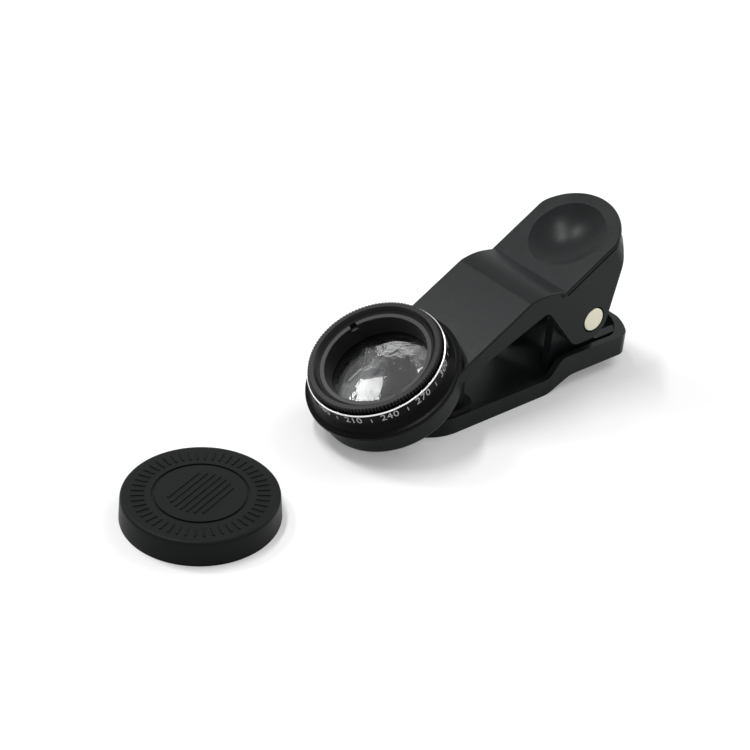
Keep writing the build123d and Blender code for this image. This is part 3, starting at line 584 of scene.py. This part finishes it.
def drawn_wire(name, colour):
    """Bright drawn steel wire with faint drawing marks."""
    material, tree, shader = start_material(name, colour, roughness=0.3, metallic=1.0)
    marks = noise_node(tree, scale=3000, detail=2, vector=object_coordinates(tree))
    bumped(tree, shader, marks, strength=0.2, distance=0.02 * MM)
    return material


def clear_glass(name, index):
    """Coated glass: clear, wiped and a little smeary, so that its gloss wanders."""
    material, tree, shader = start_material(name, (0.97, 0.98, 0.98), roughness=0.02)
    shader.inputs["Transmission Weight"].default_value = 1.0
    shader.inputs["IOR"].default_value = index
    place = object_coordinates(tree)
    smear = noise_node(tree, scale=170, detail=4, vector=place, roughness=0.55)
    tree.links.new(ranged(tree, smear, low=0.02, high=0.14), shader.inputs["Roughness"])
    bumped(tree, shader, smear, strength=0.4, distance=0.25 * MM)
    return material


def grey_film(name, colour):
    """Polarizing film: a neutral grey that dims what is seen through it."""
    material, tree, shader = start_material(name, colour, roughness=0.05)
    shader.inputs["Transmission Weight"].default_value = 1.0
    shader.inputs["IOR"].default_value = 1.06
    cloud = noise_node(tree, scale=180, detail=3, vector=object_coordinates(tree))
    tree.links.new(mixed_colour(tree, cloud, tinted(colour, 0.8), tinted(colour, 1.15)), shader.inputs["Base Color"])
    return material


def printed_marks(name, colour):
    """Printed ink with a slightly worn look."""
    material, tree, shader = start_material(name, colour, roughness=0.5)
    wear = noise_node(tree, scale=4000, detail=4, vector=object_coordinates(tree))
    tree.links.new(mixed_colour(tree, wear, tinted(colour, 0.75), tinted(colour, 1.15)), shader.inputs["Base Color"])
    return material


# Pieces

def dress_node(node, material):
    """Gives a node of the frame one material."""
    mesh = NODES[node].data
    mesh.materials.clear()
    mesh.materials.append(material)


def smooth_copy(node, material, body):
    """Makes a smooth-shaded copy of a node, with its points merged, its flats flat and its rounds blended.

    With no body given, the copy rides on no body.
    """
    mesh = NODES[node].data.copy()
    mesh.materials.clear()
    working = bmesh.new()
    working.from_mesh(mesh)
    bmesh.ops.remove_doubles(working, verts=working.verts, dist=0.001 * MM)
    working.to_mesh(mesh)
    working.free()
    blend_normals(mesh, ROUND_ANGLE)
    piece = bpy.data.objects.new(node + "_moulding", mesh)
    bpy.context.scene.collection.objects.link(piece)
    mesh.materials.append(material)
    if body:
        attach(piece, body)
    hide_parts(node)
    return piece


def wind_with_jaw(spring):
    """Works out the middle of the pin, the spring's highest and lowest points and the way between them, then bakes
    the spring's place into its mesh.

    Nothing turns the coil's points, so the spring keeps its resting shape and does not follow the upper arm.
    """
    pin_low, pin_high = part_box("hinge_pin")
    pin = (Vector(pin_low) + Vector(pin_high)) / 2
    points = np.zeros(len(spring.data.vertices) * 3)
    spring.data.vertices.foreach_get("co", points)
    points = points.reshape(-1, 3) - np.array(pin)
    upper = points[np.argmax(points[:, 2])]
    lower = points[np.argmin(points[:, 2])]
    way = np.array((upper[0] - lower[0], 0, upper[2] - lower[2]))
    way = way / np.linalg.norm(way)
    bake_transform(spring)


class CLIPLENS_OT_arms(bpy.types.Operator):
    """Finishes the two moulded arms, their pads, the pin and the spring"""
    bl_idname = "clip_lens.arms"
    bl_label = "Arms and pads"

    def execute(self, context):
        colours = context.scene.clip_lens_colours
        plastic = moulded_black("moulded satin black", colours.plastic, roughness=0.29, grain=5200, specular=0.1)
        rubber = soft_rubber("soft black rubber", colours.rubber)
        smooth_copy("upper_arm", plastic, "upper")
        smooth_copy("lower_arm", plastic, "lower")
        smooth_copy("jaw_pad", rubber, "lower")
        smooth_copy("ring_pad", rubber, "upper")
        smooth_copy("hinge_pin", pressed_pin("plated pin", colours.pin), "upper")
        wire = drawn_wire("drawn wire", colours.wire)
        wind_with_jaw(smooth_copy("torsion_spring", wire, None))
        dress_node("snap_wire", wire)
        return {"FINISHED"}


class CLIPLENS_OT_barrel(bpy.types.Operator):
    """Makes the fixed barrel: bright cut edge, band, flared flange and nose"""
    bl_idname = "clip_lens.barrel"
    bl_label = "Lens barrel"

    def execute(self, context):
        sizes = context.scene.clip_lens_barrel
        colours = context.scene.clip_lens_colours
        place = lens_frame()
        edge = sizes.edge_width
        top = -sizes.band_top
        end = -sizes.nose_end
        fine = 0.04 * MM
        crisp = 0.2 * MM
        outline = [
            (sizes.bore_radius, top, fine),
            (sizes.band_radius - edge, top, fine),
            (sizes.band_radius, top - edge, fine),
            (sizes.band_radius, -sizes.band_end, 2.2 * MM),
            (sizes.flare_radius, -sizes.flare_end, 0.5 * MM),
            (sizes.flange_radius, -sizes.flange_top, crisp),
            (sizes.flange_radius, -sizes.flange_under, crisp),
            (sizes.nose_radius, -sizes.flange_under, fine),
            (sizes.nose_radius, end, fine),
            (sizes.mouth_radius, end, fine),
            (sizes.window_radius, -sizes.window_end, fine),
            (sizes.window_radius, -sizes.seat_depth, fine),
            (sizes.bore_radius, -sizes.seat_depth, fine),
        ]
        corners = [(radius, height) for radius, height, _ in outline]
        rounds = [corner_round for _, _, corner_round in outline]
        black = turned_metal(
            "gloss black anodised", colours.gloss, roughness=0.26, metallic=0.0, lines=14, specular=0.06
        )
        bright = turned_metal("bright cut edge", colours.bright, roughness=0.16, metallic=1.0, lines=20)
        barrel = ring_piece(
            "barrel_turned", corners, rounds, place, [black, bright], "upper", ["lens_barrel"]
        )
        mesh = barrel.data
        middle = np.zeros(len(mesh.polygons) * 3)
        normal = np.zeros(len(mesh.polygons) * 3)
        mesh.polygons.foreach_get("center", middle)
        mesh.polygons.foreach_get("normal", normal)
        offset = middle.reshape(-1, 3) - place[0]
        height = offset @ place[3]
        radius = np.linalg.norm(offset - height[:, None] * place[3], axis=1)
        cut = (height > top - edge - fine) & (radius > sizes.band_radius - edge - fine / 2)
        mesh.polygons.foreach_set("material_index", cut.astype(np.int32))
        return {"FINISHED"}


class CLIPLENS_OT_marks(bpy.types.Operator):
    """Prints a plain scale of degrees round the band: a number at each step and a short line between"""
    bl_idname = "clip_lens.marks"
    bl_label = "Scale on the band"

    def execute(self, context):
        sizes = context.scene.clip_lens_barrel
        place = lens_frame()
        origin, first, second, out = place
        degrees = np.arange(0, 360, sizes.mark_step)
        meshes = [
            bent_number(
                str(degree), sizes.mark_height, sizes.mark_relief, math.radians(degree), sizes.mark_base,
                sizes.band_radius, place,
            )
            for degree in degrees
        ]
        between = np.radians(degrees + sizes.mark_step / 2)
        radial = np.cos(between)[:, None] * first + np.sin(between)[:, None] * second
        side = np.cos(between)[:, None] * second - np.sin(between)[:, None] * first
        foot = origin + radial * sizes.band_radius - out * sizes.mark_base
        reach = out * sizes.line_share * sizes.mark_height
        relief = sizes.mark_relief
        meshes.append(
            bar_field("lines", foot, foot + reach, side, radial, sizes.line_width, taper=0, low=-relief, high=relief)
        )
        ink = printed_marks("light grey ink", context.scene.clip_lens_colours.marks)
        finished_piece("band_scale", joined_meshes("band_scale", meshes), ink, "upper")
        return {"FINISHED"}


class CLIPLENS_OT_turning_ring(bpy.types.Operator):
    """Makes the knurled ring that turns, with its stepped mouth and sleeve"""
    bl_idname = "clip_lens.turning_ring"
    bl_label = "Knurled ring"

    def execute(self, context):
        sizes = context.scene.clip_lens_ring
        colours = context.scene.clip_lens_colours
        fine = 0.05 * MM
        corners = [
            (sizes.mouth_radius, 0),
            (sizes.head_radius - sizes.head_chamfer, 0),
            (sizes.head_radius, -sizes.head_chamfer),
            (sizes.head_radius, -sizes.head_height),
            (sizes.sleeve_radius, -sizes.head_height),
            (sizes.sleeve_radius, -sizes.sleeve_end),
            (sizes.shelf_radius, -sizes.sleeve_end),
            (sizes.shelf_radius, -sizes.shelf_depth),
            (sizes.bore_radius, -sizes.shelf_depth),
            (sizes.bore_radius, -sizes.bore_top),
            (sizes.step_radius, -sizes.step_end),
            (sizes.step_radius, -sizes.step_top),
        ]
        outline = rounded_outline(corners, [fine] * len(corners), sizes.round_steps)
        per_tooth = 10
        angles = np.linspace(0, 2 * math.pi, sizes.knurl_count * per_tooth, endpoint=False)

        def knurl(radius, height, angle):
            """A notch between each two teeth: a raised cosine to a power, only near the outer wall."""
            notch_start, notch_full, sharpness = 0.45 * MM, 0.15 * MM, 1.6
            reach = np.clip((radius - sizes.head_radius + notch_start) / (notch_start - notch_full), 0, 1)
            wave = 0.5 - 0.5 * np.cos(angle * sizes.knurl_count)
            return -sizes.knurl_depth * reach * wave ** sharpness

        mesh = mesh_from_grid("turning_ring", turned_grid(outline, angles, lens_frame(), knurl))
        black = turned_metal(
            "satin black anodised", colours.anodised, roughness=0.34, metallic=0.0, lines=12, specular=0.16
        )
        finished_piece("turning_ring", mesh, black, "filter", ["polarizer_ring"])
        return {"FINISHED"}


class CLIPLENS_OT_glass(bpy.types.Operator):
    """Makes the domed front glass, and finishes the retaining ring, the rear glass and the films"""
    bl_idname = "clip_lens.glass"
    bl_label = "Glass and retaining ring"

    def execute(self, context):
        sizes = context.scene.clip_lens_ring
        colours = context.scene.clip_lens_colours
        worn = moulded_black(
            "worn black anodised", tinted(colours.anodised, 2.0), roughness=0.34, grain=4200, specular=0.26
        )
        smooth_copy("retaining_ring", worn, "filter")
        glass = clear_glass("coated glass", index=1.41)
        dress_node("rear_glass", clear_glass("cemented glass", index=1.06))
        dress_node("polarizing_film", grey_film("grey polarizing film", colours.film))
        dress_node("retarder_film", grey_film("clear retarder film", (0.9, 0.9, 0.88)))
        steps = 24
        reach = np.linspace(0, sizes.dome_rim, steps)
        bulge = sizes.dome * (1 - (reach / sizes.dome_rim) ** 2) - sizes.glass_top
        dome = np.stack([reach, bulge], 1)
        edge = [(sizes.glass_radius, -sizes.glass_top), (sizes.glass_radius, -sizes.glass_under)]
        outline = np.concatenate([dome, edge, [(0, -sizes.glass_under)]])
        angles = np.linspace(0, 2 * math.pi, sizes.segments, endpoint=False)
        mesh = mesh_from_grid("front_element", turned_grid(outline, angles, lens_frame()))
        front = finished_piece("front_element", mesh, glass, "filter", ["front_glass"])
        front.data.set_sharp_from_angle(angle=math.radians(30))
        return {"FINISHED"}


class CLIPLENS_OT_cap(bpy.types.Operator):
    """Makes the push-on cap that lies beside the clip, with its ring groove and raised rays"""
    bl_idname = "clip_lens.cap"
    bl_label = "Lens cap"

    def execute(self, context):
        sizes = context.scene.clip_lens_cap
        colours = context.scene.clip_lens_colours
        height = CAP_HIGH.z - CAP_LOW.z
        inner = sizes.groove_radius - sizes.groove_width / 2
        outer = sizes.groove_radius + sizes.groove_width / 2
        floor = height - sizes.groove_depth
        under = height - sizes.face_wall
        corners = [
            (0, under), (sizes.bore, under), (sizes.bore, 0), (sizes.radius, 0), (sizes.radius - sizes.draft, height),
            (outer, height), (outer, floor), (inner, floor), (inner, height), (0, height),
        ]
        fine = 0.05 * MM
        rounds = [0, fine, fine, fine, sizes.edge_round, fine, fine, fine, fine, 0]
        black = moulded_black("fine matt black", colours.cap, roughness=0.42, grain=6500, specular=0.08)
        place = cap_frame()
        ring_piece("cap_turned", corners, rounds, place, black, "lower", ["lens_cap"])
        finished_piece("cap_ribs", self.ribs(sizes, place, height), black, "lower")
        return {"FINISHED"}

    def ribs(self, sizes, place, height):
        """Returns plain raised ribs: rays between the groove and the edge, and bars across the middle.

        A ray runs from one radius to another at its angle. A bar at a height y across the middle is as long
        as the chord of a circle there, twice the root of its radius squared less y squared.
        """
        origin, first, second, up = place
        origin = origin + up * height
        angle = np.linspace(0, 2 * math.pi, sizes.ray_count, endpoint=False)
        radial = np.cos(angle)[:, None] * first + np.sin(angle)[:, None] * second
        side = np.cos(angle)[:, None] * second - np.sin(angle)[:, None] * first
        ups = np.repeat(up[None], len(angle), 0)
        profile = (sizes.rib_width, sizes.rib_taper, -sizes.rib_root, sizes.rib_relief)
        start = origin + radial * sizes.ray_start
        end = origin + radial * sizes.ray_end
        rays = bar_field("rays", start, end, side, ups, *profile)
        across = math.cos(sizes.bar_slant) * first + math.sin(sizes.bar_slant) * second
        upward = math.cos(sizes.bar_slant) * second - math.sin(sizes.bar_slant) * first
        y = np.linspace(-sizes.bar_spread, sizes.bar_spread, sizes.bar_count)
        chord = np.sqrt(sizes.bar_circle ** 2 - y ** 2)
        middle = origin + y[:, None] * upward
        half = chord[:, None] * across
        sides = np.repeat(upward[None], len(y), 0)
        ups = np.repeat(up[None], len(y), 0)
        bars = bar_field("bars", middle - half, middle + half, sides, ups, *profile)
        return joined_meshes("cap_ribs", [rays, bars])


class CLIPLENS_OT_stage(bpy.types.Operator):
    """Sets up the floor, the light and the camera"""
    bl_idname = "clip_lens.stage"
    bl_label = "Studio"

    def execute(self, context):
        settings = context.scene.clip_lens_studio
        scene = context.scene
        scene.view_settings.view_transform = "Standard"
        make_floor(settings)
        make_world(scene, settings.sky)
        for name, place, size, length_way, power in LAMPS:
            area_light(name, place, size, length_way, getattr(settings, power))
        make_camera(scene, settings)
        return {"FINISHED"}


def seen_directly(tree):
    """Returns 1 where a ray comes from the camera, from gloss or through glass."""
    rays = tree.nodes.new("ShaderNodeLightPath")
    total = rays.outputs["Is Camera Ray"]
    for name in ("Is Glossy Ray", "Is Transmission Ray"):
        add = tree.nodes.new("ShaderNodeMath")
        add.operation = "MAXIMUM"
        tree.links.new(total, add.inputs[0])
        tree.links.new(rays.outputs[name], add.inputs[1])
        total = add.outputs["Value"]
    return total


def make_floor(settings):
    """A wide pale floor that shows white and keeps the object's shadow.

    Near the object it adds only a little light of its own. From the shadow's reach outwards that light
    grows, for the camera alone, until the floor shows plain white.
    """
    half = 3.0
    mesh = bpy.data.meshes.new("floor")
    level = -0.02 * MM
    corners = [(-half, -half, level), (half, -half, level), (half, half, level), (-half, half, level)]
    mesh.from_pydata(corners, [], [(0, 1, 2, 3)])
    floor = bpy.data.objects.new("floor", mesh)
    bpy.context.scene.collection.objects.link(floor)
    material, tree, shader = start_material("white paper", (0.86, 0.86, 0.86), roughness=0.9)
    shader.inputs["Emission Color"].default_value = (1, 1, 1, 1)
    near = tree.nodes.new("ShaderNodeMath")
    near.operation = "MULTIPLY"
    near.inputs[1].default_value = settings.glow
    tree.links.new(seen_directly(tree), near.inputs[0])
    reach = tree.nodes.new("ShaderNodeVectorMath")
    reach.operation = "LENGTH"
    tree.links.new(object_coordinates(tree), reach.inputs[0])
    far = tree.nodes.new("ShaderNodeMapRange")
    far.interpolation_type = "SMOOTHSTEP"
    far.inputs["From Min"].default_value = settings.shadow_reach
    far.inputs["From Max"].default_value = settings.white_reach
    tree.links.new(reach.outputs["Value"], far.inputs["Value"])
    strength = tree.nodes.new("ShaderNodeMath")
    strength.operation = "MULTIPLY_ADD"
    tree.links.new(far.outputs["Result"], strength.inputs[0])
    rays = tree.nodes.new("ShaderNodeLightPath")
    tree.links.new(rays.outputs["Is Camera Ray"], strength.inputs[1])
    tree.links.new(near.outputs["Value"], strength.inputs[2])
    tree.links.new(strength.outputs["Value"], shader.inputs["Emission Strength"])
    mesh.materials.append(material)


def make_world(scene, sky):
    """Surroundings that show white, and light the object at a plain level."""
    world = bpy.data.worlds.new("studio")
    world.use_nodes = True
    tree = world.node_tree
    background = tree.nodes["Background"]
    background.inputs["Color"].default_value = (1, 1, 1, 1)
    level = tree.nodes.new("ShaderNodeMapRange")
    level.inputs["To Min"].default_value = sky
    level.inputs["To Max"].default_value = 1.0
    tree.links.new(seen_directly(tree), level.inputs["Value"])
    tree.links.new(level.outputs["Result"], background.inputs["Strength"])
    scene.world = world


def area_light(name, place, size, length_way, power):
    """A soft rectangular light that faces the object, with its first side along a given way."""
    light = bpy.data.lights.new(name, "AREA")
    light.shape = "RECTANGLE"
    light.energy = power
    light.size, light.size_y = size
    lamp = bpy.data.objects.new(name, light)
    bpy.context.scene.collection.objects.link(lamp)
    aim = Vector((-0.01, 0, 0.01))
    back = (Vector(place) - aim).normalized()
    above = back.cross(Vector(length_way)).normalized()
    turn = Matrix((above.cross(back), above, back)).transposed().to_4x4()
    lamp.matrix_world = Matrix.Translation(place) @ turn


def make_camera(scene, settings):
    """The camera, from its angles round the point that it looks at."""
    azimuth, elevation, roll = settings.azimuth, settings.elevation, settings.roll
    away = Vector((math.sin(azimuth), -math.cos(azimuth), 0))
    back = away * math.cos(elevation) + Vector((0, 0, math.sin(elevation)))
    level = Vector((math.cos(azimuth), math.sin(azimuth), 0))
    above = back.cross(level)
    right = level * math.cos(roll) + above * math.sin(roll)
    up = above * math.cos(roll) - level * math.sin(roll)
    camera = bpy.data.objects.new("camera", bpy.data.cameras.new("camera"))
    scene.collection.objects.link(camera)
    camera.data.sensor_width = 36
    camera.data.lens = settings.focal
    camera.data.clip_start = 0.01
    camera.data.clip_end = 20
    place = Vector(settings.target) + back * settings.distance
    turn = Matrix((right, up, back)).transposed().to_4x4()
    camera.matrix_world = Matrix.Translation(place) @ turn
    scene.camera = camera


class CLIPLENS_PT_panel(bpy.types.Panel):
    """Lists the operators, the sizes, the colours and the studio's settings"""
    bl_label = "Clip-on polarizing lens"
    bl_idname = "CLIPLENS_PT_panel"
    bl_space_type = "VIEW_3D"
    bl_region_type = "UI"
    bl_category = "Clip Lens"

    def draw(self, context):
        for operator in OPERATORS:
            self.layout.operator(operator.bl_idname)
        for group_name in GROUPS:
            group = getattr(context.scene, group_name)
            for name in group.__annotations__:
                self.layout.prop(group, name)


OPERATORS = (
    CLIPLENS_OT_arms,
    CLIPLENS_OT_barrel,
    CLIPLENS_OT_marks,
    CLIPLENS_OT_turning_ring,
    CLIPLENS_OT_glass,
    CLIPLENS_OT_cap,
    CLIPLENS_OT_stage,
)
GROUPS = {
    "clip_lens_ring": RingSizes,
    "clip_lens_barrel": BarrelSizes,
    "clip_lens_cap": CapSizes,
    "clip_lens_colours": FinishColours,
    "clip_lens_studio": StudioSettings,
}


def register():
    """Registers the property groups, the operators and the panel."""
    for name, group in GROUPS.items():
        bpy.utils.register_class(group)
        setattr(bpy.types.Scene, name, bpy.props.PointerProperty(type=group))
    for operator in OPERATORS:
        bpy.utils.register_class(operator)
    bpy.utils.register_class(CLIPLENS_PT_panel)


def unregister():
    """Takes them all out again."""
    bpy.utils.unregister_class(CLIPLENS_PT_panel)
    for operator in reversed(OPERATORS):
        bpy.utils.unregister_class(operator)
    for name, group in GROUPS.items():
        delattr(bpy.types.Scene, name)
        bpy.utils.unregister_class(group)


def main():
    """Builds every piece in order."""
    register()
    bpy.ops.clip_lens.arms()
    bpy.ops.clip_lens.barrel()
    bpy.ops.clip_lens.marks()
    bpy.ops.clip_lens.turning_ring()
    bpy.ops.clip_lens.glass()
    bpy.ops.clip_lens.cap()
    bpy.ops.clip_lens.stage()


if __name__ == "__main__":
    main()
